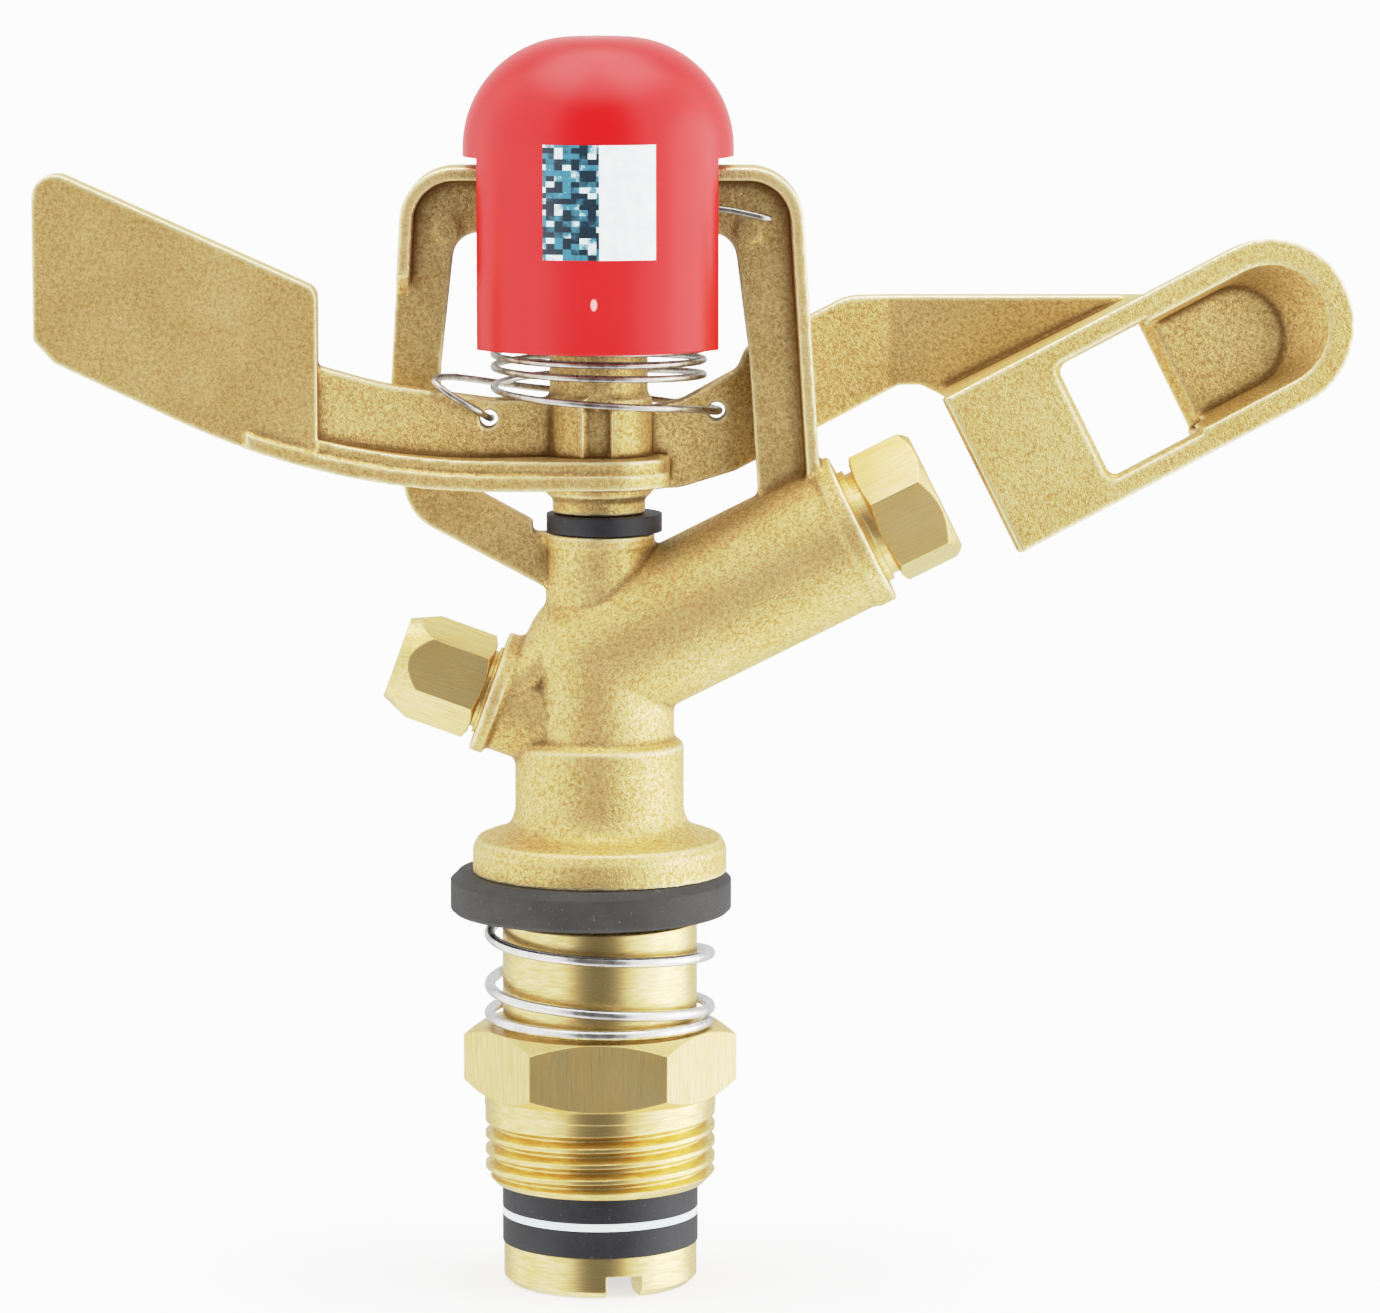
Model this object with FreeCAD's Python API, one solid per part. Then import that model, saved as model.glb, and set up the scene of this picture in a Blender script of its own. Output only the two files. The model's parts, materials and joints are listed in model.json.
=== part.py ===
"""Two-nozzle brass impact sprinkler with a G 3/4 male inlet, in millimetres.

+Z is up, along the spin axis. The origin is on that axis at the underside of the inlet hexagon,
which is where the fitting that it screws into ends. +X points the way the main jet leaves, and
-Y is the side on which the arm's counterweight passes the bridge.
"""
import FreeCAD, Part
import math
import os

from FreeCAD import Vector

# Inlet nipple: a G 3/4 thread below a 27 mm hexagon, and a neck that guides the bearing spring
THREAD_R = 26.441 / 2
THREAD_PITCH = 25.4 / 14
THREAD_DEPTH = 1.162
THREAD_CREST_CUTS = (0.06, 0.09)
THREAD_END_Z = -10.3
THREAD_LAND = 1.4
HEX_FLATS = 27.0
HEX_HEIGHT = 7.8
HEX_CONE = (13.48, 1.35)
NECK_R = 11.1
NECK_TOP_Z = 20.4

# Bearing sleeve: the tube that turns with the head inside the nipple
SLEEVE_R = 8.5
SLEEVE_BORE_R = 6.6
SLEEVE_TOP_R = 8.0
SLEEVE_TOP_Z = 36.0
RUNNING_GAP = 0.06
SLEEVE_FLANGE_R = 11.05
SLEEVE_FLANGE_TOP_Z = -17.2
SLEEVE_BOTTOM_Z = -21.9
SLEEVE_SLOT_WIDTH = 4.0
SLEEVE_SLOT_DEPTH = 2.5
SLEEVE_SLOT_TURN = 15.0

# Washers between the end of the nipple and the sleeve's flange
WASHER_R = 11.2
LOWER_WASHER_TOP_Z = -14.1
PTFE_TOP_Z = -13.2
WATER_FILM = 0.03

# Dust cap and bearing spring
DUST_CAP_R = 16.0
DUST_CAP_BOTTOM_Z = 21.0
DUST_CAP_CEILING_Z = 23.7
DUST_CAP_WALL = 1.2
DUST_CAP_PLAY = 1.0
BEARING_WIRE = 1.25
BEARING_SPRING_R = 26.4 / 2 - BEARING_WIRE / 2
BEARING_SPRING_LEAN = 0.35

# Head casting
FLANGE_R = 14.45
FLANGE_BOTTOM_Z = 25.5
FLANGE_TOP_Z = 29.8
COLLAR_R = 9.6
COLLAR_TOP_Z = 40.6
TRUNK_R = 8.5
BORE_R = 6.5
BARREL_Z = 50.0
BARREL_ANGLE = 26.5
BARREL_R = 8.65
BARREL_LENGTH = 33.3
BARREL_LIP_R = 8.95
BARREL_LIP = 2.3
REAR_Z = 41.7
REAR_ANGLE = 20.0
REAR_R = 6.3
REAR_LIP_R = 7.05
REAR_LIP = 1.6
REAR_LENGTH = 13.3
REAR_BORE_R = 4.4
BOSS_R = 6.05
BOSS_TOP_Z = 64.4
BOSS_LIP = 1.5
SHOULDER_Z = 55.4
SPOT_FACE_R = 7.6
SPOT_FACE_TOP_Z = 67.0

# Bridge over the arm: a flat web with a raised rim along its outer edge
WEB_HALF = 1.6
RIM_HALF = 3.7
RIM_WIDTH = 1.5
RIM_FADE_Z = 91.5
BRIDGE_TOP_Z = 105.7
PIVOT_BOSS_R = 5.6
PIVOT_BOSS_Z = 95.6
RIM_FOOT_X = 20.0
RIM_FOOT_Z = 64.0
PIN_MARKS = ((-17.0, 98.7), (16.9, 98.5))
PIN_MARK_R = 1.4
PIN_MARK_RISE = 0.25

# Nozzles
SPIGOT_LENGTH = 6.0
ORIFICE_LAND = 2.0
NOZZLE_FLATS = 14.0
NOZZLE_HEX_START = 35.0
NOZZLE_HEX_END = 42.5
NOZZLE_CONE = (6.85, 1.25)
NOZZLE_TURN = 10.6
NOZZLE_ORIFICE_R = 2.4
REAR_FLATS = 10.6
REAR_CONE = (4.7, 3.4)
REAR_HEX_START = 14.1
REAR_HEX_END = 24.4
REAR_TURN = 11.0
REAR_ORIFICE_R = 1.6
STRAIGHTENER_START = 12.0
STRAIGHTENER_END = 26.5

# Arm pivot
PIN_R = 3.0
PIN_BOTTOM_Z = 58.6
PIN_HEAD_R = 4.2
PIN_HEAD = 1.8
BUSH_R = 4.0
ARM_WASHER_R = 6.55
ARM_WASHER_Z = (64.5, 66.5)
ARM_WASHER_PLAY = 0.6
HUB_BOTTOM_Z = 66.6
HUB_COLLAR_R = 5.25
HUB_COLLAR_TOP_Z = 68.6
HUB_R = 6.0
HUB_SHOULDER_Z = 80.2
HUB_NECK_R = 5.55
HUB_TOP_Z = 92.5
BUSH_FLANGE = 1.0

# Arm: its web crosses the pivot at a slant, in front of one bridge leg and behind the other
ARM_SLANT = 14.0
ARM_WEB = 3.0
ARM_FOOT_Z = 69.85
ARM_FOOT_ARC_R = 85.7
ARM_FOOT_ARC_X = -10.5
ARM_FOOT_ARC_END_X = -47.0
SPOON_WEB_Y = 8.2
PLATE_X = -31.2
PLATE_Y = (-10.4, -6.0)
FLANGE_HEIGHTS = (1.8, 3.4)
FLANGE_BACKS = (0.0, 0.55)
SPRING_HOLE_R = 1.0
SPRING_HOLES = ((13.3, 77.9), (-12.3, 77.6))

# Spoon at the end of the arm, measured along the jet from the barrel's crossing with the spin axis
SPOON_START = 48.2
SPOON_FRONT_Y = -5.0
SPOON_SLANT = 11.6
SPOON_LENGTH = 47.2
SPOON_HALF = 9.75
SPOON_RISE = -0.35
SPOON_TOP_Z = 90.6
SPOON_PLATE = 2.3
WINDOW = (13.3, 25.0)
WINDOW_HALF = 7.0
CUP_DEPTH = 5.2
CUP_BACK = 6.9
CUP_WALL_RUN = 4.8
CUP_EDGE = 1.4

# Arm spring: a torsion spring round the pivot, under the cap
ARM_WIRE = 0.8
ARM_SPRING_R = 24.5 / 2 - ARM_WIRE / 2
ARM_SPRING_Z = 78.7
ARM_SPRING_PITCH = 1.28
ARM_SPRING_LIFT = 2.8
ARM_SPRING_LIFT_TURNS = 0.52
ARM_SPRING_TURNS = 11.02
ARM_SPRING_START = -24.0

# Cap over the arm spring
CAP_R = 15.25
CAP_WALL = 1.5
CAP_BOTTOM_Z = 85.6
CAP_TOP_Z = 120.2
CAP_CROWN_ARC_R = 12.4
CAP_SLOT_HALF = 7.1
CAP_SLOT_TOP_Z = 106.9
CAP_SOCKET_R = (4.7, 6.0)
LABEL_X = 0.3
LABEL_HALF_WIDTH = 6.25
LABEL_Z = (96.1, 108.8)
LABEL_THICKNESS = 0.15

WIRE_SIDES = 10
FAR = 400.0


# ---------------------------------------------------------------- general shapes
def cylinder(radius, low, high):
    """Solid cylinder on the Z axis between two heights."""
    return Part.makeCylinder(radius, high - low, Vector(0, 0, low))


def ring(outer, inner, low, high):
    """Flat ring on the Z axis."""
    return cylinder(outer, low, high).cut(cylinder(inner, low - 1, high + 1))


def turned(profile):
    """Solid of revolution about Z from a list of (radius, height) corners."""
    points = [Vector(radius, 0, height) for radius, height in profile]
    wire = Part.makePolygon(points + points[:1])
    return Part.Face(wire).revolve(Vector(0, 0, 0), Vector(0, 0, 1), 360)


def rounded_wire(corners, to_point):
    """Closed wire through corners of (a, b) or (a, b, radius), with an arc where there is a radius."""
    count = len(corners)
    ends = []
    for index, corner in enumerate(corners):
        here = Vector(corner[0], corner[1], 0)
        before = (Vector(*corners[index - 1][:2], 0) - here).normalize()
        after = (Vector(*corners[(index + 1) % count][:2], 0) - here).normalize()
        if len(corner) < 3:
            ends.append((here, None, here))
            continue
        half = before.getAngle(after) / 2
        reach = corner[2] / math.tan(half)
        middle_way = (before + after).normalize()
        middle = here + middle_way * (corner[2] / math.sin(half) - corner[2])
        ends.append((here + before * reach, middle, here + after * reach))
    edges = []
    for index, (start, middle, end) in enumerate(ends):
        if middle is not None:
            edges.append(Part.Arc(to_point(start), to_point(middle), to_point(end)).toShape())
        following = ends[(index + 1) % count][0]
        if end.distanceToPoint(following) > 1e-6:
            edges.append(Part.LineSegment(to_point(end), to_point(following)).toShape())
    return Part.Wire(edges)


def elevation(corners, near, far):
    """Slab between two Y values whose outline is given as (x, z) corners."""
    wire = rounded_wire(corners, lambda point: Vector(point.x, near, point.y))
    return Part.Face(wire).extrude(Vector(0, far - near, 0))


def plan(corners, low, high):
    """Slab between two heights whose outline is given as (x, y) corners."""
    wire = rounded_wire(corners, lambda point: Vector(point.x, point.y, low))
    return Part.Face(wire).extrude(Vector(0, 0, high - low))


def hexagon(across_flats, low, high, cone_low, cone_high, turn=0.0):
    """Hexagonal prism on the Z axis, coned at each end; a cone is (end radius, length)."""
    corner_r = across_flats / math.sqrt(3)
    points = [Vector(corner_r, 0, low)]
    for side in range(1, 7):
        angle = math.radians(60 * side)
        points.append(Vector(corner_r * math.cos(angle), corner_r * math.sin(angle), low))
    prism = Part.Face(Part.makePolygon(points)).extrude(Vector(0, 0, high - low))
    prism.rotate(Vector(0, 0, 0), Vector(0, 0, 1), turn)
    widest = corner_r + 0.1
    profile = [(0, low), (cone_low[0], low), (widest, low + cone_low[1])]
    profile += [(widest, high - cone_high[1]), (cone_high[0], high), (0, high)]
    return prism.common(turned(profile))


def tilted(shape, angle, height):
    """Lay a shape modelled on the Z axis along an axis that rises from the spin axis."""
    shape.rotate(Vector(0, 0, 0), Vector(0, 1, 0), 90 - angle)
    shape.translate(Vector(0, 0, height))
    return shape


def along_barrel(shape):
    """Lay a shape modelled on the Z axis along the main barrel, up towards +X."""
    return tilted(shape, BARREL_ANGLE, BARREL_Z)


def along_rear(shape):
    """Lay a shape modelled on the Z axis along the rear nozzle, up towards -X."""
    shape = tilted(shape, REAR_ANGLE, REAR_Z)
    shape.rotate(Vector(0, 0, 0), Vector(0, 0, 1), 180)
    return shape


def fused(first, *others):
    """One solid from overlapping shapes."""
    return first.fuse(list(others)).removeSplitter()


def wire_along(points, thickness):
    """Wire bent along a smooth curve through points; its section is a circle drawn as a polygon."""
    curve = Part.BSplineCurve()
    curve.interpolate(points)
    start = curve.value(curve.FirstParameter)
    way = curve.tangent(curve.FirstParameter)[0]
    side = way.cross(Vector(0, 0, 1)).normalize()
    rise = way.cross(side)
    corners = []
    for step in range(WIRE_SIDES):
        turn = 2 * math.pi * step / WIRE_SIDES
        corners.append(start + (side * math.cos(turn) + rise * math.sin(turn)) * (thickness / 2))
    section = Part.makePolygon(corners + corners[:1])
    return Part.Wire(curve.toShape()).makePipeShell([section], True, True)


def coil(radius, heights, start_angle, end_angle, per_turn=16):
    """Points on a helix whose height is a function of the turn counted from its start, in degrees."""
    steps = round(abs(end_angle - start_angle) / 360 * per_turn)
    points = []
    for step in range(steps + 1):
        angle = start_angle + (end_angle - start_angle) * step / steps
        turn = math.radians(angle)
        height = heights(abs(angle - start_angle) / 360)
        points.append(Vector(radius * math.cos(turn), radius * math.sin(turn), height))
    return points


# ---------------------------------------------------------------- inlet and bearing
def thread_groove():
    """Helical groove with 55 degree flanks, started below the thread so that it runs out of its end."""
    half_root = THREAD_PITCH * 0.06
    outside = 0.5
    half_mouth = half_root + (THREAD_DEPTH + outside) * math.tan(math.radians(27.5))
    root_r, mouth_r = THREAD_R - THREAD_DEPTH, THREAD_R + outside
    corners = [(root_r, -half_root), (root_r, half_root), (mouth_r, half_mouth), (mouth_r, -half_mouth)]
    points = [Vector(radius, 0, height) for radius, height in corners]
    start_z = THREAD_END_Z - 2 * THREAD_PITCH
    length = -THREAD_LAND - half_mouth - start_z
    helix = Part.makeHelix(THREAD_PITCH, length, THREAD_R)
    section = Part.makePolygon(points + points[:1])
    groove = Part.Wire(helix).makePipeShell([section], True, True)
    groove.translate(Vector(0, 0, start_z))
    return groove


def bearing_nipple():
    """Stationary inlet: thread, hexagon and neck, with the bore that the sleeve turns in."""
    root_r = THREAD_R - THREAD_DEPTH
    first_crest_r, last_crest_r = [THREAD_R - cut for cut in THREAD_CREST_CUTS]
    blank = turned([
        (0, THREAD_END_Z), (root_r, THREAD_END_Z), (last_crest_r, THREAD_END_Z + THREAD_DEPTH),
        (first_crest_r, -THREAD_LAND), (THREAD_R, -THREAD_LAND), (THREAD_R, 0.5), (0, 0.5)])
    hexagonal = hexagon(HEX_FLATS, 0, HEX_HEIGHT, HEX_CONE, HEX_CONE)
    edge = 0.6
    neck = turned([
        (0, 1), (NECK_R, 1), (NECK_R, NECK_TOP_Z - edge), (NECK_R - edge, NECK_TOP_Z), (0, NECK_TOP_Z)])
    bore = cylinder(SLEEVE_R + RUNNING_GAP, THREAD_END_Z - 1, NECK_TOP_Z + 1)
    return blank.cut(thread_groove()).fuse([hexagonal, neck]).cut(bore).removeSplitter()


def bearing_sleeve():
    """Tube screwed into the head, with a slotted flange that carries the washers."""
    chamfer = 0.7
    body = turned([
        (SLEEVE_BORE_R, SLEEVE_BOTTOM_Z + chamfer), (SLEEVE_BORE_R + chamfer, SLEEVE_BOTTOM_Z),
        (SLEEVE_FLANGE_R - chamfer, SLEEVE_BOTTOM_Z), (SLEEVE_FLANGE_R, SLEEVE_BOTTOM_Z + chamfer),
        (SLEEVE_FLANGE_R, SLEEVE_FLANGE_TOP_Z), (SLEEVE_R, SLEEVE_FLANGE_TOP_Z),
        (SLEEVE_R, FLANGE_BOTTOM_Z), (SLEEVE_TOP_R, FLANGE_BOTTOM_Z),
        (SLEEVE_TOP_R, SLEEVE_TOP_Z), (SLEEVE_BORE_R, SLEEVE_TOP_Z)])
    slot = Part.makeBox(SLEEVE_SLOT_WIDTH, 4 * SLEEVE_FLANGE_R, SLEEVE_SLOT_DEPTH + 1,
                        Vector(-SLEEVE_SLOT_WIDTH / 2, -2 * SLEEVE_FLANGE_R, SLEEVE_BOTTOM_Z - 1))
    slot.rotate(Vector(0, 0, 0), Vector(0, 0, 1), SLEEVE_SLOT_TURN)
    return body.cut(slot)


def stack_washer(low, high):
    """Flat washer of the thrust stack, centred by the sleeve."""
    return ring(WASHER_R, SLEEVE_R + RUNNING_GAP, low, high)


def dust_cap():
    """Shallow cup that keeps grit off the bearing spring; it hangs to one side by its play."""
    edge = 0.9
    hole_r = SLEEVE_R + DUST_CAP_PLAY + 0.1
    profile = [
        (hole_r, FLANGE_BOTTOM_Z), (DUST_CAP_R - edge, FLANGE_BOTTOM_Z),
        (DUST_CAP_R, FLANGE_BOTTOM_Z - edge), (DUST_CAP_R, DUST_CAP_BOTTOM_Z + 0.4),
        (DUST_CAP_R - 0.4, DUST_CAP_BOTTOM_Z), (DUST_CAP_R - DUST_CAP_WALL, DUST_CAP_BOTTOM_Z),
        (DUST_CAP_R - DUST_CAP_WALL, DUST_CAP_CEILING_Z), (hole_r, DUST_CAP_CEILING_Z)]
    shape = turned(profile)
    shape.translate(Vector(-DUST_CAP_PLAY, 0, 0))
    return shape


def bearing_spring():
    """Compression spring with closed ends between the hexagon and the dust cap, leaning a little."""
    bottom = HEX_HEIGHT + BEARING_WIRE / 2
    top = DUST_CAP_CEILING_Z - BEARING_WIRE / 2
    closed_pitch = BEARING_WIRE * 1.08
    low_turns, open_turns, top_turns = 1.0, 2.0, 0.9
    open_bottom = bottom + low_turns * closed_pitch
    open_top = top - top_turns * closed_pitch

    def height(turn):
        if turn < low_turns:
            return bottom + turn * closed_pitch
        if turn > low_turns + open_turns:
            return open_top + (turn - low_turns - open_turns) * closed_pitch
        share = (turn - low_turns) / open_turns
        lean = BEARING_SPRING_LEAN * math.sin(math.pi * share) * math.cos(2 * math.pi * turn)
        return open_bottom + share * (open_top - open_bottom) + lean

    total = low_turns + open_turns + top_turns
    return wire_along(coil(BEARING_SPRING_R, height, -10, -10 - 360 * total), BEARING_WIRE)


# ---------------------------------------------------------------- head casting
BRIDGE_OUTLINE = [
    (-2, 56), (-21.4, 66.3, 6.0), (-23.6, 78.0, 40.0), (-21.9, BRIDGE_TOP_Z, 6.2),
    (22.7, BRIDGE_TOP_Z, 6.2), (24.9, 72.0), (25.4, 60.0)]
BRIDGE_WINDOW = [
    (-2, 62.7), (-17.9, 71.4, 0.8), (-17.8, 83.0), (-16.1, 98.3, 3.0),
    (15.2, 98.3, 3.0), (17.0, 84.0), (18.4, 62.0)]


def bridge():
    """Web, rim and pivot boss of the bridge that the arm strikes."""
    web = elevation(BRIDGE_OUTLINE, -WEB_HALF, WEB_HALF)
    solid = elevation(BRIDGE_OUTLINE, -RIM_HALF, RIM_HALF)
    outline = rounded_wire(BRIDGE_OUTLINE, lambda point: Vector(point.x, -FAR / 2, point.y))
    inside = Part.Face(outline.makeOffset2D(-RIM_WIDTH)).extrude(Vector(0, FAR, 0))
    rim = solid.cut(inside)
    fade = Part.makePolygon([
        Vector(-FAR, -WEB_HALF, RIM_FADE_Z), Vector(-FAR, -FAR, RIM_FADE_Z + FAR),
        Vector(-FAR, -FAR, -FAR), Vector(-FAR, -WEB_HALF, -FAR), Vector(-FAR, -WEB_HALF, RIM_FADE_Z)])
    front = Part.Face(fade).extrude(Vector(FAR, 0, 0))
    back = front.mirror(Vector(0, 0, 0), Vector(0, 1, 0))
    foot = Part.makeBox(RIM_FOOT_X, FAR, RIM_FOOT_Z, Vector(0, -FAR / 2, 0))
    rim = rim.cut([front, back, foot])
    boss = cylinder(PIVOT_BOSS_R, PIVOT_BOSS_Z, BRIDGE_TOP_Z)
    marks = []
    for x, z in PIN_MARKS:
        base = Vector(x, -WEB_HALF - PIN_MARK_RISE, z)
        marks.append(Part.makeCylinder(PIN_MARK_R, 2 * (WEB_HALF + PIN_MARK_RISE), base, Vector(0, 1, 0)))
    window = elevation(BRIDGE_WINDOW, -FAR / 2, FAR / 2)
    return web.cut(window).fuse([rim, *marks]).fuse(boss)


def head_outside():
    """Outer shape of the head: flange, trunk, barrel, rear boss, pivot boss and bridge."""
    flange = turned([
        (0, FLANGE_BOTTOM_Z), (FLANGE_R, FLANGE_BOTTOM_Z), (FLANGE_R, FLANGE_TOP_Z - 1.5),
        (FLANGE_R - 0.5, FLANGE_TOP_Z - 0.4), (FLANGE_R - 1.5, FLANGE_TOP_Z),
        (COLLAR_R + 1.6, FLANGE_TOP_Z + 0.5),
        (COLLAR_R + 0.5, FLANGE_TOP_Z + 1.3), (COLLAR_R, FLANGE_TOP_Z + 2.8),
        (COLLAR_R, COLLAR_TOP_Z - 0.5), (COLLAR_R - 0.5, COLLAR_TOP_Z), (TRUNK_R, COLLAR_TOP_Z + 0.3),
        (TRUNK_R, BARREL_Z), (0, BARREL_Z)])
    knee = Part.makeSphere(BARREL_R, Vector(0, 0, BARREL_Z))
    lip_start = BARREL_LENGTH - BARREL_LIP
    barrel = along_barrel(cylinder(BARREL_R, 0, lip_start + 0.5))
    barrel_lip = along_barrel(cylinder(BARREL_LIP_R, lip_start, BARREL_LENGTH))
    rear = along_rear(cylinder(REAR_R, 0, REAR_LENGTH - REAR_LIP + 0.5))
    rear_lip = along_rear(cylinder(REAR_LIP_R, REAR_LENGTH - REAR_LIP, REAR_LENGTH))
    boss = cylinder(BOSS_R, BARREL_Z, BOSS_TOP_Z - 0.3)
    boss_lip = cylinder(BOSS_R + 0.25, BOSS_TOP_Z - BOSS_LIP, BOSS_TOP_Z)
    lower_ring = along_rear(Part.makeCircle(REAR_R, Vector(0, 0, REAR_LENGTH - REAR_LIP + 0.3)))
    upper_ring = Part.makeCircle(BOSS_R - 0.05, Vector(0, 0, SHOULDER_Z))
    shoulder = Part.makeLoft([Part.Wire(lower_ring), Part.Wire(upper_ring)], True, True)
    return flange.fuse([knee, barrel, barrel_lip, rear, rear_lip, boss, boss_lip, shoulder, bridge()])


def water_ways():
    """Bores for the sleeve, the two jets and the pivot pin."""
    seat = cylinder(SLEEVE_TOP_R, FLANGE_BOTTOM_Z - 1, SLEEVE_TOP_Z)
    riser = cylinder(SLEEVE_BORE_R, SLEEVE_TOP_Z - 1, BARREL_Z)
    knee = Part.makeSphere(SLEEVE_BORE_R, Vector(0, 0, BARREL_Z))
    barrel = along_barrel(cylinder(BORE_R, 0, BARREL_LENGTH + 1))
    rear = along_rear(cylinder(REAR_BORE_R, 2, REAR_LENGTH + 1))
    pin_hole = cylinder(PIN_R, PIN_BOTTOM_Z, BRIDGE_TOP_Z + 1)
    return seat.fuse([riser, knee, barrel, rear, pin_hole])


def body_casting():
    """Head of the sprinkler, one brass casting, spot-faced round the pivot boss."""
    spot_face = cylinder(SPOT_FACE_R, BOSS_TOP_Z, SPOT_FACE_TOP_Z)
    return head_outside().cut([water_ways(), spot_face]).removeSplitter()


# ---------------------------------------------------------------- nozzles
def nozzle(bore_r, face, flats, hex_start, hex_end, cone, orifice_r, turn):
    """Hexagonal screw-in nozzle on the Z axis whose bore narrows to its orifice."""
    spigot_start = face - SPIGOT_LENGTH
    spigot = cylinder(bore_r, spigot_start, face)
    neck = cylinder(flats / 2 - 0.75, face, hex_start + 0.2)
    bead = cylinder(flats / 2 - 0.2, face, face + (hex_start - face) * 0.45)
    body = hexagon(flats, hex_start, hex_end, (flats / 2 * 0.98, 0.5), cone, turn)
    entry_r = bore_r - 1.1
    passage = turned([
        (0, spigot_start - 1), (entry_r, spigot_start - 1), (entry_r, spigot_start),
        (orifice_r, hex_end - ORIFICE_LAND), (orifice_r, hex_end - 0.5),
        (orifice_r + 0.8, hex_end + 0.3), (0, hex_end + 0.3)])
    return fused(spigot, neck, bead, body).cut(passage)


def main_nozzle():
    """Driving and range nozzle at the end of the barrel."""
    shape = nozzle(BORE_R, BARREL_LENGTH, NOZZLE_FLATS, NOZZLE_HEX_START, NOZZLE_HEX_END,
                   NOZZLE_CONE, NOZZLE_ORIFICE_R, NOZZLE_TURN)
    return along_barrel(shape)


def rear_nozzle():
    """Small spreader nozzle on the other side."""
    shape = nozzle(REAR_BORE_R, REAR_LENGTH, REAR_FLATS, REAR_HEX_START, REAR_HEX_END,
                   REAR_CONE, REAR_ORIFICE_R, REAR_TURN)
    return along_rear(shape)


def stream_straightener():
    """Thin tube with crossed vanes that lies in the barrel behind the main nozzle."""
    outer = BORE_R - 0.1
    tube = ring(outer, outer - 0.7, STRAIGHTENER_START, STRAIGHTENER_END)
    length = STRAIGHTENER_END - STRAIGHTENER_START
    vane = Part.makeBox(2 * outer - 0.6, 0.8, length, Vector(0.3 - outer, -0.4, STRAIGHTENER_START))
    crossed = vane.copy()
    crossed.rotate(Vector(0, 0, 0), Vector(0, 0, 1), 90)
    return along_barrel(fused(tube, vane, crossed))


# ---------------------------------------------------------------- arm pivot
def fulcrum_pin():
    """Pin through the bridge and the arm, screwed into the head, with a slotted top."""
    shank = cylinder(PIN_R, PIN_BOTTOM_Z, BRIDGE_TOP_Z)
    head = cylinder(PIN_HEAD_R, BRIDGE_TOP_Z, BRIDGE_TOP_Z + PIN_HEAD)
    corner = Vector(-1.5 * PIN_HEAD_R, -0.6, BRIDGE_TOP_Z + PIN_HEAD - 1)
    slot = Part.makeBox(3 * PIN_HEAD_R, 1.2, 2, corner)
    return fused(shank, head).cut(slot)


def arm_lower_bushing():
    """Plain bush pressed into the lower end of the arm's hub."""
    return ring(BUSH_R, PIN_R + RUNNING_GAP, HUB_BOTTOM_Z, HUB_BOTTOM_Z + 10)


def arm_upper_bushing():
    """Flanged bush pressed into the upper end of the arm's hub."""
    sleeve = ring(BUSH_R, PIN_R + RUNNING_GAP, HUB_TOP_Z - 9, HUB_TOP_Z)
    flange = ring(HUB_NECK_R - 0.2, PIN_R + RUNNING_GAP, HUB_TOP_Z, HUB_TOP_Z + BUSH_FLANGE)
    return fused(sleeve, flange)


def arm_lower_washer():
    """Soft washer between the head's boss and the arm's hub."""
    low, high = ARM_WASHER_Z
    shape = ring(ARM_WASHER_R, PIN_R + ARM_WASHER_PLAY + 0.1, low, high)
    shape.translate(Vector(ARM_WASHER_PLAY, 0, 0))
    return shape


def arm_upper_washer():
    """Thin washer between the arm's hub and the bridge."""
    return ring(PIVOT_BOSS_R - 0.3, PIN_R + RUNNING_GAP, HUB_TOP_Z + BUSH_FLANGE + 0.3, PIVOT_BOSS_Z - 0.1)


# ---------------------------------------------------------------- arm
def slanted_strip(length_x, half, run_y):
    """Plan outline of the web: a slanted run from the pivot, then a run parallel to X."""
    slope = math.tan(math.radians(ARM_SLANT))
    side = math.copysign(1, length_x)
    knee_x = side * run_y / slope
    offset = half / math.cos(math.radians(ARM_SLANT))
    knee_shift = half * math.tan(math.radians(ARM_SLANT / 2))
    near_y, far_y = side * (run_y - half), side * (run_y + half)
    return [
        (0, -offset * side), (knee_x + side * knee_shift, near_y), (length_x, near_y),
        (length_x, far_y), (knee_x - side * knee_shift, far_y), (0, offset * side)]


def foot_z(x, rise=0.0):
    """Height of the counterweight side's lower edge: level, then an arc, then straight."""
    run = min(max(ARM_FOOT_ARC_X - x, 0), ARM_FOOT_ARC_X - ARM_FOOT_ARC_END_X)
    drop = ARM_FOOT_ARC_R - math.sqrt(ARM_FOOT_ARC_R ** 2 - run ** 2)
    end_slope = math.tan(math.asin((ARM_FOOT_ARC_X - ARM_FOOT_ARC_END_X) / ARM_FOOT_ARC_R))
    beyond = max(ARM_FOOT_ARC_END_X - x, 0)
    return ARM_FOOT_Z + drop + beyond * end_slope + rise


def foot_band(rise, near, far):
    """Everything between the lower edge of the counterweight side and a line that runs parallel to it."""
    stations = [-64 + 74 * step / 12 for step in range(13)]
    lower = [Vector(x, near, foot_z(x)) for x in stations]
    upper = [Vector(x, near, foot_z(x, rise)) for x in reversed(stations)]
    low_edge = Part.BSplineCurve()
    low_edge.interpolate(lower)
    high_edge = Part.BSplineCurve()
    high_edge.interpolate(upper)
    sides = [Part.makeLine(lower[-1], upper[0]), Part.makeLine(upper[-1], lower[0])]
    wire = Part.Wire([low_edge.toShape(), sides[0], high_edge.toShape(), sides[1]])
    return Part.Face(wire).extrude(Vector(0, far - near, 0))


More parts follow.
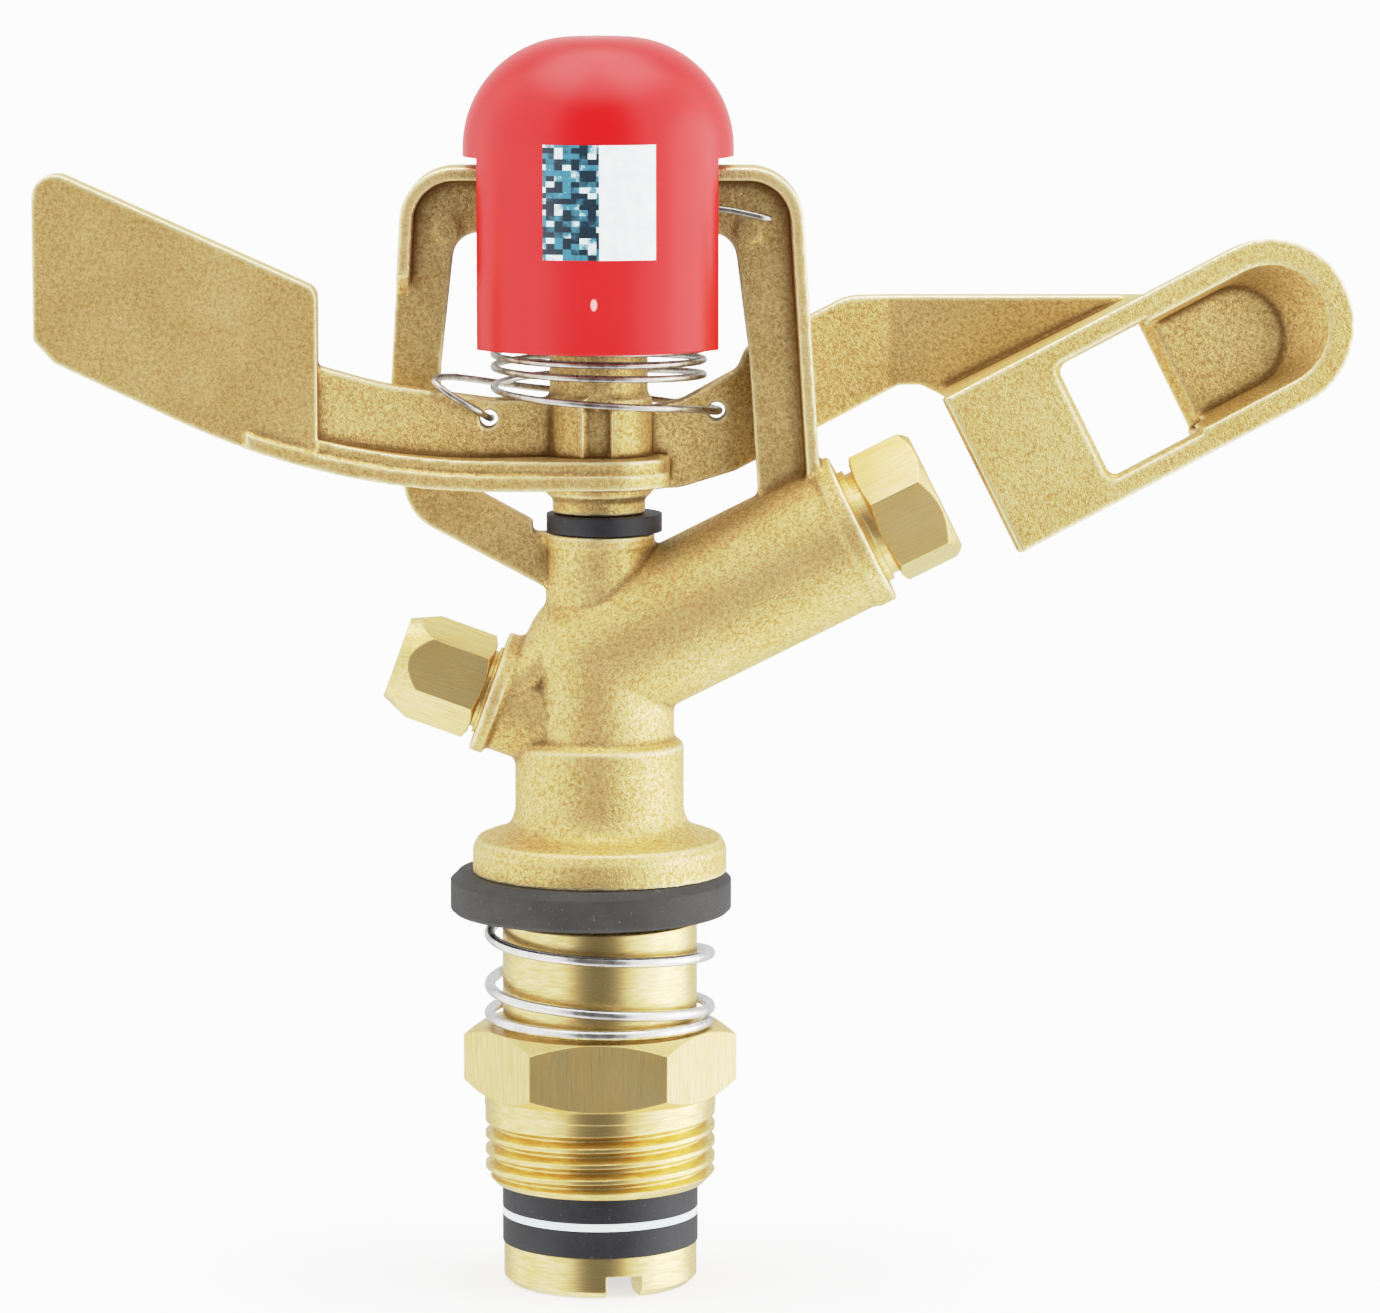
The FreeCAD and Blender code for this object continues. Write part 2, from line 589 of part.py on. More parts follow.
def counterweight_plate():
    """Broad plate at the end of the arm that gives it its swing."""
    outline = [(-62.7, 60), (-62.7, 106.7, 2.6), (PLATE_X, 92.6, 1.6), (PLATE_X, 60)]
    plate = elevation(outline, *PLATE_Y).common(foot_band(60, *PLATE_Y))
    clipped_corner = [(-70, 80), (-70, 86.9), (-62.8, 86.9), (-60.4, foot_z(-60.4)), (-60.4, 80)]
    return plate.cut(elevation(clipped_corner, -20, 0))


def left_web():
    """Web from the pivot to the counterweight."""
    outline = [(0, 60), (0, 79.6), (-12, 79.85), (-24, 81.7, 30), (-31.6, 84.0, 1.0), (-33, 90), (-34, 60)]
    plate_middle = -sum(PLATE_Y) / 2
    strip = plan(slanted_strip(-34, ARM_WEB / 2, plate_middle), 50, 120)
    return elevation(outline, -20, 2).common(strip).common(foot_band(60, -20, 2))


def left_flange():
    """Stepped flange along the foot of the web, which wraps round the front of the hub."""
    shapes = []
    for rise, back in zip(FLANGE_HEIGHTS, FLANGE_BACKS):
        outline = [
            (-41, -8), (-39, back - 11.0), (-22, back - 10.4, 40), (-9, back - 9.5, 30),
            (3.6, back - 8.9, 4.5), (8.1 - back, -5.6, 3), (7.6 - back, 1), (0, 1)]
        shapes.append(plan(outline, 60, 90).common(foot_band(rise, -20, 2)))
    return shapes[0].fuse(shapes[1])


def right_web():
    """Web from the pivot to the spoon, which passes behind the bridge."""
    outline = [
        (0, 69.2), (9, 69.2, 8), (15.4, 71.0), (34.2, 80.4, 1.6), (36.6, 80.4, 1.4), (39.6, 78.9),
        (41.0, 80.2), (63.5, 90.6), (28.3, 90.6, 5), (16.6, 84.9, 1.2), (15.6, 82.6, 1.2),
        (9.4, 79.3, 4), (6.0, 78.6), (0, 78.6)]
    strip = plan(slanted_strip(66, ARM_WEB / 2, SPOON_WEB_Y), 50, 120)
    return elevation(outline, -4, 16).common(strip)


def along_jet(shape):
    """Lift a shape modelled level at the spoon's start onto the line of the jet."""
    shape.translate(Vector(SPOON_START, SPOON_FRONT_Y, SPOON_RISE))
    shape.rotate(Vector(0, 0, 0), Vector(0, 1, 0), -BARREL_ANGLE)
    shape.translate(Vector(0, 0, BARREL_Z))
    return shape


def stadium(start, end, half, y):
    """Outline with a square end and a half-round end, in the plane of one Y."""
    arc_x = end - half
    edges = [
        Part.makeLine(Vector(start, y, -half), Vector(arc_x, y, -half)),
        Part.Arc(Vector(arc_x, y, -half), Vector(end, y, 0), Vector(arc_x, y, half)).toShape(),
        Part.makeLine(Vector(arc_x, y, half), Vector(start, y, half)),
        Part.makeLine(Vector(start, y, half), Vector(start, y, -half))]
    return Part.Wire(edges)


def window_outline(y, growth):
    """Outline of the spoon's window at one depth, moved out on its leading side."""
    start = WINDOW[0] - growth
    half = WINDOW_HALF + growth / 2
    corners = [(start, -half, 1.2), (WINDOW[1], -half), (WINDOW[1], half), (start, half, 1.2)]
    return rounded_wire(corners, lambda point: Vector(point.x, y, point.y))


def window_cut():
    """Window of the spoon with its bevelled front edge."""
    opening = Part.Face(window_outline(-5, 0)).extrude(Vector(0, 25, 0))
    bevel = Part.makeLoft([window_outline(-0.2, 1.0), window_outline(1.0, 0)], True, True)
    return opening.fuse(bevel)


def cup_cut():
    """Hollow of the cup, with the blade that splits the jet ground along its inner end."""
    mouth_end = SPOON_LENGTH - 2.4
    mouth = stadium(WINDOW[0], mouth_end, WINDOW_HALF, -0.5)
    floor = stadium(WINDOW[0], mouth_end - CUP_WALL_RUN, WINDOW_HALF - 1.2, CUP_DEPTH)
    hollow = Part.makeLoft([mouth, floor], True, True)
    hollow = hollow.common(Part.makeBox(60, 30, 60, Vector(WINDOW[1] - 4, -5, -30)))
    low = -WINDOW_HALF
    corners = [(-1, CUP_BACK + 1), (-1, CUP_DEPTH - 2), (CUP_EDGE, CUP_DEPTH - 2),
               (CUP_EDGE, CUP_DEPTH), (0, CUP_BACK)]
    points = [Vector(WINDOW[1] + x, y, low) for x, y in corners]
    blade = Part.Face(Part.makePolygon(points + points[:1])).extrude(Vector(0, 0, 2 * WINDOW_HALF))
    return hollow.fuse(blade)


def spoon():
    """Vane, window and cup that the jet drives."""
    frame = Part.Face(stadium(0, SPOON_LENGTH, SPOON_HALF, 0)).extrude(Vector(0, SPOON_PLATE, 0))
    cup_outline = stadium(WINDOW[1] - 0.2, SPOON_LENGTH - 0.4, SPOON_HALF - 0.5, 0)
    cup = Part.Face(cup_outline).extrude(Vector(0, CUP_BACK, 0))
    shape = frame.fuse(cup).cut([window_cut(), cup_cut()])
    shape.rotate(Vector(0, 0, 0), Vector(0, 0, 1), SPOON_SLANT)
    return along_jet(shape)


def spoon_roof():
    """Ledge that ties the upper edge of the spoon to the web behind it."""
    end = 34.0
    front_y = 0.2
    back_y = SPOON_WEB_Y + ARM_WEB / 2 - SPOON_FRONT_Y
    slope = math.tan(math.radians(SPOON_SLANT))
    corners = [(0, front_y), (end, front_y + end * slope), (end, back_y), (0, back_y)]
    roof = along_jet(plan(corners, SPOON_HALF - 1.6, SPOON_HALF))
    return roof.common(Part.makeBox(FAR, FAR, SPOON_TOP_Z, Vector(0, -FAR / 2, 0)))


def hub():
    """Turned hub of the arm with its shallow front groove."""
    shape = turned([
        (0, HUB_BOTTOM_Z), (HUB_COLLAR_R, HUB_BOTTOM_Z), (HUB_COLLAR_R, HUB_COLLAR_TOP_Z - 0.4),
        (HUB_R, HUB_COLLAR_TOP_Z + 0.2), (HUB_R, HUB_SHOULDER_Z - 0.5), (HUB_NECK_R, HUB_SHOULDER_Z),
        (HUB_NECK_R, HUB_TOP_Z - 0.4), (HUB_NECK_R - 0.4, HUB_TOP_Z), (0, HUB_TOP_Z)])
    groove = elevation([(-1.5, 72.6, 0.5), (-1.5, 78.2), (-2.0, 79.2), (-1.0, 80.4, 0.5), (1.0, 80.4, 0.5),
                        (2.0, 79.2), (1.5, 78.2), (1.5, 72.6, 0.5)], -8, -HUB_R + 0.55)
    return shape.cut(groove)


def arm_casting():
    """The swinging arm, one brass casting."""
    foot_ring = cylinder(8.0, ARM_FOOT_Z, ARM_FOOT_Z + FLANGE_HEIGHTS[1] - 0.2)
    solid = hub().fuse([
        foot_ring, counterweight_plate(), left_web(), left_flange(), right_web(), spoon(), spoon_roof()])
    bore = cylinder(BUSH_R, 50, 120)
    gap = cylinder(12, 50, ARM_FOOT_Z - 0.6).cut(cylinder(HUB_R + 0.01, 50, 120))
    holes = []
    for x, z in SPRING_HOLES:
        holes.append(Part.makeCylinder(SPRING_HOLE_R, 40, Vector(x, -20, z), Vector(0, 1, 0)))
    return solid.cut([bore, gap, *holes]).removeSplitter()


def arm_spring():
    """Torsion spring: its lower end threads the arm's web, its upper end lies in the bridge's pocket."""
    web_thread = [
        Vector(-12.1, 0.2, 77.3), Vector(-12.3, -3.1, 77.6), Vector(-13.5, -6.4, 78.7),
        Vector(-17.2, -7.0, 81.0), Vector(-18.3, -5.2, 82.1), Vector(-16.6, -1.8, 82.1),
        Vector(-13.0, 3.4, 81.2), Vector(-7.5, 8.2, 80.0), Vector(0, 10.0, 79.2),
        Vector(7.2, 9.3, 78.4), Vector(11.8, 7.0, 78.0), Vector(13.5, 3.6, 77.9), Vector(13.2, 0.0, 78.0)]

    def height(turn):
        lift = ARM_SPRING_LIFT * (1 - math.exp(-turn / ARM_SPRING_LIFT_TURNS))
        return ARM_SPRING_Z + ARM_SPRING_PITCH * turn + lift

    end = ARM_SPRING_START - 360 * ARM_SPRING_TURNS
    winding = coil(ARM_SPRING_R, height, ARM_SPRING_START, end)
    hook = [
        Vector(9.6, -6.4, 97.4), Vector(9.3, -5.0, 99.6), Vector(11.0, -3.4, 101.0),
        Vector(14.2, -3.0, 101.0), Vector(19.4, -2.9, 99.9)]
    return wire_along(web_thread + winding + hook, ARM_WIRE)


# ---------------------------------------------------------------- cap
def cap_shell(radius, low, top, arc_r):
    """Solid of a cylinder with a rounded crown."""
    arc_z = top - arc_r
    flat_r = radius - arc_r
    diagonal = arc_r * math.sqrt(0.5)
    edges = [
        Part.makeLine(Vector(0, 0, low), Vector(radius, 0, low)),
        Part.makeLine(Vector(radius, 0, low), Vector(radius, 0, arc_z)),
        Part.Arc(Vector(radius, 0, arc_z), Vector(flat_r + diagonal, 0, arc_z + diagonal),
                 Vector(flat_r, 0, top)).toShape(),
        Part.makeLine(Vector(flat_r, 0, top), Vector(0, 0, top)),
        Part.makeLine(Vector(0, 0, top), Vector(0, 0, low))]
    return Part.Face(Part.Wire(edges)).revolve(Vector(0, 0, 0), Vector(0, 0, 1), 360)


def spring_cap():
    """Moulded cap that straddles the bridge and hides the arm spring."""
    outside = cap_shell(CAP_R, CAP_BOTTOM_Z, CAP_TOP_Z, CAP_CROWN_ARC_R)
    inner_top_z = CAP_TOP_Z - CAP_WALL
    inside = cap_shell(CAP_R - CAP_WALL, CAP_BOTTOM_Z - 1, inner_top_z, CAP_CROWN_ARC_R - CAP_WALL)
    corner = Vector(-FAR, -CAP_SLOT_HALF, CAP_SLOT_TOP_Z - FAR)
    slot = Part.makeBox(2 * FAR, 2 * CAP_SLOT_HALF, FAR, corner)
    inner, outer = CAP_SOCKET_R
    socket = ring(outer, inner, BRIDGE_TOP_Z + 0.1, inner_top_z + 0.3)
    return outside.cut(inside).cut(slot).fuse(socket).removeSplitter()


def cap_label():
    """Thin printed label on the front of the cap."""
    low, high = LABEL_Z
    label_r = CAP_R + LABEL_THICKNESS
    outer = cap_shell(label_r, CAP_BOTTOM_Z, CAP_TOP_Z, CAP_CROWN_ARC_R + LABEL_THICKNESS)
    inner = cap_shell(CAP_R, CAP_BOTTOM_Z, CAP_TOP_Z, CAP_CROWN_ARC_R)
    corner = Vector(LABEL_X - LABEL_HALF_WIDTH, -20, low)
    front = Part.makeBox(2 * LABEL_HALF_WIDTH, 20, high - low, corner)
    return outer.cut(inner).common(front)


NODES = {
    "bearing_nipple": bearing_nipple,
    "bearing_spring": bearing_spring,
    "dust_cap": dust_cap,
    "upper_rubber_washer": lambda: stack_washer(PTFE_TOP_Z, THREAD_END_Z),
    "ptfe_washer": lambda: stack_washer(LOWER_WASHER_TOP_Z, PTFE_TOP_Z),
    "lower_rubber_washer": lambda: stack_washer(SLEEVE_FLANGE_TOP_Z, LOWER_WASHER_TOP_Z - WATER_FILM),
    "bearing_sleeve": bearing_sleeve,
    "body_casting": body_casting,
    "main_nozzle": main_nozzle,
    "rear_nozzle": rear_nozzle,
    "stream_straightener": stream_straightener,
    "fulcrum_pin": fulcrum_pin,
    "arm_lower_washer": arm_lower_washer,
    "arm_upper_washer": arm_upper_washer,
    "arm_lower_bushing": arm_lower_bushing,
    "arm_upper_bushing": arm_upper_bushing,
    "arm_casting": arm_casting,
    "arm_spring": arm_spring,
    "spring_cap": spring_cap,
    "cap_label": cap_label,
}


def main():
    """Write each sub-part to its own STEP file."""
    os.makedirs("parts", exist_ok=True)
    for name, make in NODES.items():
        shape = make()
        solids = shape.Solids
        print(f"{name:22} solids {len(solids)} valid {shape.isValid()} volume {shape.Volume:9.1f}")
        result = solids[0] if len(solids) == 1 else Part.makeCompound(solids)
        result.exportStep(f"parts/{name}.step")


main()
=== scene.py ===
"""Looks of the brass impact sprinkler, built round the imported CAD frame. Lengths are in metres."""

import json
import math

import bpy
import numpy as np
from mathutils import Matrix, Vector


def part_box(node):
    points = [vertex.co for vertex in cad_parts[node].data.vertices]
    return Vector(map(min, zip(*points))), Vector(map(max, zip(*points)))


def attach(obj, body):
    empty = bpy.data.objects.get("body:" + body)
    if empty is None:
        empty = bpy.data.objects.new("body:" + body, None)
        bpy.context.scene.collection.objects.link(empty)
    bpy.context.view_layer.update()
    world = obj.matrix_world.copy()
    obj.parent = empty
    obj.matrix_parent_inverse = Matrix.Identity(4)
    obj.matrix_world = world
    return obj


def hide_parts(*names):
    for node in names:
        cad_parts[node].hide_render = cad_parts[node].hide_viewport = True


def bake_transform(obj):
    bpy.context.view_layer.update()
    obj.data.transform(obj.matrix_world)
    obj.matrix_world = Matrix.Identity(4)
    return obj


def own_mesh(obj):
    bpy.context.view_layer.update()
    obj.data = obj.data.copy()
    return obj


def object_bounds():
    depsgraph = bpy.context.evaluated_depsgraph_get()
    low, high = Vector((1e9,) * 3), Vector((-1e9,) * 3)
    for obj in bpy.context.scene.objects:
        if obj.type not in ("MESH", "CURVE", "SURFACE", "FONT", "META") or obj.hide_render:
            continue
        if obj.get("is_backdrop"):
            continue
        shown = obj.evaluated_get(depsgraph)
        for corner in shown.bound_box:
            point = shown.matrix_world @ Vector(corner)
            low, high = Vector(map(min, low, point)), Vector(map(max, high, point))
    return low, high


MM = 0.001
# How far round a point its relief is measured, for fine edges and for broad hollows
RELIEF_REACH = {"edge": 0.7 * MM, "hollow": 1.5 * MM}
NORMALS_EVERY = 4  # smoothing steps between two readings of the normals

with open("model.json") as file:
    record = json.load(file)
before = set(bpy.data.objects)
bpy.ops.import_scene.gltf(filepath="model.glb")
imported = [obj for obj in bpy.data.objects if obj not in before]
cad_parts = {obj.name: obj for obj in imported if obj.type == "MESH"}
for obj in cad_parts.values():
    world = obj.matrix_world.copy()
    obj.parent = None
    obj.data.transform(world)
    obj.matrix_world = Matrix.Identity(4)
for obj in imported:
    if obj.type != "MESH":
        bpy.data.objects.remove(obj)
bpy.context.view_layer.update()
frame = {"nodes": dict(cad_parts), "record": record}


# ---------------------------------------------------------------- mesh helpers
def new_piece(name, mesh, body, slot, material, *nodes):
    """A piece that rides on a body and stands for the CAD nodes."""
    piece = bpy.data.objects.new(name, mesh)
    bpy.context.scene.collection.objects.link(piece)
    piece.data.materials.clear()
    piece.data.materials.append(material)
    if body:
        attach(piece, body)
    if nodes:
        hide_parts(*nodes)
    return piece


def evaluated(mesh, *modifiers):
    """The mesh after modifiers given as (type, settings)."""
    holder = bpy.data.objects.new("holder", mesh)
    bpy.context.scene.collection.objects.link(holder)
    for kind, settings in modifiers:
        modifier = holder.modifiers.new(kind, kind)
        for key, value in settings.items():
            setattr(modifier, key, value)
    graph = bpy.context.evaluated_depsgraph_get()
    result = bpy.data.meshes.new_from_object(holder.evaluated_get(graph))
    bpy.data.objects.remove(holder)
    return result


def vertices_of(mesh):
    points = np.empty(len(mesh.vertices) * 3)
    mesh.vertices.foreach_get("co", points)
    return points.reshape(-1, 3)


def edges_of(mesh):
    ends = np.empty(len(mesh.edges) * 2, int)
    mesh.edges.foreach_get("vertices", ends)
    return ends.reshape(-1, 2)


def vertex_normals(mesh):
    mesh.update()
    normals = np.empty(len(mesh.vertices) * 3)
    mesh.vertices.foreach_get("normal", normals)
    return normals.reshape(-1, 3)


def set_vertices(mesh, points):
    mesh.vertices.foreach_set("co", points.astype(np.float32).ravel())
    mesh.update()


def neighbour_mean(points, ends):
    """Mean place of each vertex's neighbours along the mesh's edges."""
    count = len(points)
    total = np.zeros_like(points)
    for axis in range(3):
        total[:, axis] += np.bincount(ends[:, 0], points[ends[:, 1], axis], count)
        total[:, axis] += np.bincount(ends[:, 1], points[ends[:, 0], axis], count)
    return total / np.bincount(ends.ravel(), minlength=count)[:, None].clip(1)


def soften(mesh, convex_steps, concave_steps, hold):
    """Rounds outer edges by convex_steps of smoothing and fills inner corners by concave_steps.

    hold is 0 to 1 per vertex: at 1 no material is added there.
    """
    points, ends = vertices_of(mesh), edges_of(mesh)
    free = (1 - hold)[:, None]
    for step in range(max(convex_steps, concave_steps)):
        pull = neighbour_mean(points, ends) - points
        if step % NORMALS_EVERY == 0:
            normals = vertex_normals(mesh)
        outward = (pull * normals).sum(1, keepdims=True)
        share = np.where(outward > 0, step < concave_steps, step < convex_steps)
        points = points + 0.5 * pull * share * np.where(outward > 0, free, 1)
        set_vertices(mesh, points)


def mark_relief(mesh, voxel):
    """Stores how far each point stands out (above 0) or lies in (below 0), in millimetres."""
    points, ends, normals = vertices_of(mesh), edges_of(mesh), vertex_normals(mesh)
    for name, reach in RELIEF_REACH.items():
        smooth = points
        for _ in range(round((reach / voxel) ** 2)):
            smooth = neighbour_mean(smooth, ends)
        out = ((points - smooth) * normals).sum(1) / MM
        attribute = mesh.attributes.new(name, "FLOAT", "POINT")
        attribute.data.foreach_set("value", out.astype(np.float32))


def cast_copy(node, voxel, convex_steps, concave_steps, hold=None, carve=None):
    """A fine, even copy of a cast CAD node with the soft edges and fillets of a casting.

    hold gives soften's hold from the points, and carve gives the final points.
    """
    source = frame["nodes"][node].data.copy()
    mesh = evaluated(source, ("WELD", {"merge_threshold": 1e-6}),
                     ("REMESH", {"mode": "VOXEL", "voxel_size": voxel, "use_smooth_shade": True}))
    points = vertices_of(mesh)
    soften(mesh, convex_steps, concave_steps, hold(points) if hold else np.zeros(len(points)))
    if carve:
        set_vertices(mesh, carve(vertices_of(mesh)))
    mark_relief(mesh, voxel)
    mesh.polygons.foreach_set("use_smooth", [True] * len(mesh.polygons))
    return mesh


def tube(points, radius, sides):
    """Round wire along points, with closed flat ends."""
    points = [Vector(point) for point in points]
    rings, faces = [], []
    side = None
    for index, point in enumerate(points):
        way = (points[min(index + 1, len(points) - 1)] - points[max(index - 1, 0)]).normalized()
        if side is None:
            side = way.orthogonal().normalized()
        side = (side - way * side.dot(way)).normalized()
        rise = way.cross(side)
        for step in range(sides):
            turn = 2 * math.pi * step / sides
            rings.append(point + (side * math.cos(turn) + rise * math.sin(turn)) * radius)
    for ring in range(len(points) - 1):
        for step in range(sides):
            after = (step + 1) % sides
            low, high = ring * sides, (ring + 1) * sides
            faces.append((low + step, low + after, high + after, high + step))
    faces.append(tuple(reversed(range(sides))))
    faces.append(tuple(range((len(points) - 1) * sides, len(points) * sides)))
    mesh = bpy.data.meshes.new("tube")
    mesh.from_pydata([tuple(v) for v in rings], [], faces)
    mesh.polygons.foreach_set("use_smooth", [len(f) == 4 for f in faces])
    mesh.update()
    return mesh


def smooth_curve(controls, per_span):
    """Points on a smooth curve through the controls (Catmull-Rom), per_span of them for each span."""
    controls = [Vector(c) for c in controls]
    padded = [controls[0] * 2 - controls[1], *controls, controls[-1] * 2 - controls[-2]]
    points = []
    for index in range(1, len(padded) - 2):
        a, b, c, d = padded[index - 1:index + 3]
        for step in range(per_span):
            t = step / per_span
            points.append(0.5 * (2 * b + (c - a) * t + (2 * a - 5 * b + 4 * c - d) * t * t
                                 + (3 * b - a - 3 * c + d) * t ** 3))
    return points + [controls[-1]]


# ---------------------------------------------------------------- material helpers
class Nodes:
    """Short way to write a material's node tree."""

    def __init__(self, name):
        self.material = bpy.data.materials.new(name)
        self.material.use_nodes = True
        self.tree = self.material.node_tree
        self.tree.nodes.clear()
        self.output = self.add("ShaderNodeOutputMaterial")
        self.shader = self.add("ShaderNodeBsdfPrincipled")
        self.link(self.shader.outputs[0], self.output.inputs["Surface"])
        self.place = self.add("ShaderNodeTexCoord").outputs["Object"]

    def add(self, kind, **settings):
        node = self.tree.nodes.new(kind)
        for key, value in settings.items():
            setattr(node, key, value)
        return node

    def link(self, source, target):
        self.tree.links.new(source, target)

    def put(self, value, target):
        if isinstance(value, bpy.types.NodeSocket):
            self.link(value, target)
        else:
            target.default_value = value

    def set(self, **values):
        for key, value in values.items():
            self.put(value, self.shader.inputs[key.replace("_", " ")])

    def scaled(self, scale):
        """Coordinates multiplied per axis."""
        node = self.add("ShaderNodeVectorMath", operation="MULTIPLY")
        self.link(self.place, node.inputs[0])
        node.inputs[1].default_value = scale
        return node.outputs[0]

    def noise(self, size, detail=2.0, roughness=0.5, stretch=(1, 1, 1), distortion=0.0):
        """Noise whose features are about size metres wide."""
        node = self.add("ShaderNodeTexNoise")
        self.link(self.scaled([s / size for s in stretch]), node.inputs["Vector"])
        node.inputs["Scale"].default_value = 1.0
        node.inputs["Detail"].default_value = detail
        node.inputs["Roughness"].default_value = roughness
        node.inputs["Distortion"].default_value = distortion
        return node.outputs[0]

    def math(self, operation, first, second=0.0):
        node = self.add("ShaderNodeMath", operation=operation)
        self.put(first, node.inputs[0])
        self.put(second, node.inputs[1])
        return node.outputs[0]

    def ranged(self, value, low, high, out_low=0.0, out_high=1.0):
        node = self.add("ShaderNodeMapRange")
        self.link(value, node.inputs[0])
        for index, number in enumerate((low, high, out_low, out_high)):
            node.inputs[index + 1].default_value = number
        return node.outputs[0]

    def mix(self, share, first, second):
        """Colour between first and second."""
        node = self.add("ShaderNodeMix", data_type="RGBA")
        self.put(share, node.inputs[0])
        self.put(first, node.inputs[6])
        self.put(second, node.inputs[7])
        return node.outputs[2]

    def bump(self, height, distance, strength=1.0, normal=None):
        node = self.add("ShaderNodeBump")
        node.inputs["Strength"].default_value = strength
        node.inputs["Distance"].default_value = distance
        self.link(height, node.inputs["Height"])
        if normal is not None:
            self.link(normal, node.inputs["Normal"])
        return node.outputs[0]

    def gate_mark_and_glint(self, centre, radii):
        """1 inside a small ellipse on the front, seen along Y, falling softly to 0."""
        parts = []
        for name, middle, radius in zip("XZ", centre, radii):
            offset = self.math("DIVIDE", self.math("SUBTRACT", self.axis(name), middle), radius)
            parts.append(self.math("MULTIPLY", offset, offset))
        inside = self.ranged(self.math("ADD", *parts), 0.5, 1.0, 1.0, 0.0)
        return self.math("MULTIPLY", inside, self.math("LESS_THAN", self.axis("Y"), 0.0))

    def rounded(self, radius):
        """Normal that rounds sharp edges."""
        node = self.add("ShaderNodeBevel", samples=6)
        node.inputs["Radius"].default_value = radius
        return node.outputs[0]

    def attribute(self, name):
        return self.add("ShaderNodeAttribute", attribute_name=name).outputs["Fac"]

    def axis(self, name):
        node = self.add("ShaderNodeSeparateXYZ")
        self.link(self.place, node.inputs[0])
        return node.outputs[name]


def rgb(red, green, blue):
    """Linear colour from 0-255 sRGB values."""
    def linear(value):
        value /= 255
        return value / 12.92 if value <= 0.04045 else ((value + 0.055) / 1.055) ** 2.4
    return (linear(red), linear(green), linear(blue), 1.0)


# ---------------------------------------------------------------- materials
def cast_brass():
    """Pebbled sand-cast brass: bright grain tops and browner pits, with a painted highlight on outer edges
    and painted shade in creases and broad hollows.
    """
    m = Nodes("cast_brass")
    grain = m.noise(0.22 * MM, 3, 0.6)
    pits = m.noise(0.45 * MM, 2, 0.55, distortion=0.3)
    broad = m.noise(9 * MM, 3, 0.55)
    edge, hollow = m.attribute("edge"), m.attribute("hollow")
    pebble = m.math("ADD", m.math("MULTIPLY", grain, 0.55), m.math("MULTIPLY", pits, 0.45))
    fresh = m.mix(m.ranged(broad, 0.35, 0.65), rgb(226, 198, 132), rgb(238, 212, 150))
    worn = m.mix(m.ranged(broad, 0.35, 0.65), rgb(178, 143, 82), rgb(192, 158, 96))
    colour = m.mix(m.ranged(pebble, 0.40, 0.60), worn, fresh)
    # Painted shade: broad hollows are darkened brown, where less light reaches.
    colour = m.mix(m.ranged(hollow, -0.05, -0.30, 0.0, 0.75), colour, rgb(120, 84, 38))
    # Painted shade: narrow creases and inner corners are darkened.
    colour = m.mix(m.ranged(edge, -0.03, -0.12, 0.0, 0.7), colour, rgb(98, 66, 28))
    # Painted highlight: outer edges are brightened to pale cream.
    colour = m.mix(m.ranged(edge, 0.035, 0.12, 0.0, 0.7), colour, rgb(252, 234, 184))
    polish = m.ranged(edge, 0.06, 0.20, 0.0, 0.20)
    rough = m.math("SUBTRACT", m.ranged(pebble, 0.40, 0.60, 0.62, 0.46), polish)
    m.set(Base_Color=colour, Metallic=1.0, Roughness=rough)
    m.set(Normal=m.bump(pebble, 0.15 * MM, 1.0))
    return m.material


def machined_brass(name, lean=0.0, drawn=None):
    """Brass bar with fine lines: round the axis where it is turned, along it where drawn gives a Z range.

    lean turns the axis from +Z towards +X, in degrees. Without drawn the whole piece is as drawn.
    """
    m = Nodes(name)
    height = m.axis("Z")
    turn = m.add("ShaderNodeVectorRotate", rotation_type="Y_AXIS")
    m.link(m.place, turn.inputs["Vector"])
    turn.inputs["Angle"].default_value = -math.radians(lean)
    m.place = turn.outputs[0]
    turned = m.noise(0.22 * MM, 2, 0.5, stretch=(0.12, 0.12, 1.0))
    pulled = m.noise(0.20 * MM, 2, 0.55, stretch=(1.0, 1.0, 0.05))
    cloud = m.noise(5 * MM, 3, 0.55)
    share = 1.0
    if drawn:
        above, below = m.math("GREATER_THAN", height, drawn[0]), m.math("LESS_THAN", height, drawn[1])
        share = m.math("MULTIPLY", above, below)
    lines = m.add("ShaderNodeMix", data_type="FLOAT")
    for value, socket in zip((share, turned, pulled), (0, 2, 3)):
        m.put(value, lines.inputs[socket])
    lines = lines.outputs[0]
    colour = m.mix(m.ranged(cloud, 0.3, 0.7), rgb(230, 202, 132), rgb(238, 214, 150))
    colour = m.mix(m.ranged(lines, 0.38, 0.62, 0.0, 0.55), colour, rgb(196, 158, 88))
    rough = m.math("ADD", m.ranged(lines, 0.3, 0.7, 0.26, 0.38), m.math("MULTIPLY", share, 0.12))
    m.set(Base_Color=colour, Metallic=1.0, Roughness=rough)
    m.set(Normal=m.bump(lines, 0.02 * MM, 0.8, m.rounded(0.24 * MM)))
    return m.material


def steel(name, roughness, dark=rgb(150, 144, 136), light=rgb(206, 203, 197)):
    """Drawn steel wire or a turned steel pin."""
    m = Nodes(name)
    cloud = m.noise(1.2 * MM, 3, 0.6)
    m.set(Base_Color=m.mix(m.ranged(cloud, 0.3, 0.7), dark, light),
          Metallic=1.0, Roughness=m.ranged(cloud, 0.3, 0.7, roughness * 0.8, roughness * 1.4))
    m.set(Normal=m.bump(cloud, 0.01 * MM, 0.4, m.rounded(0.1 * MM)))
    return m.material


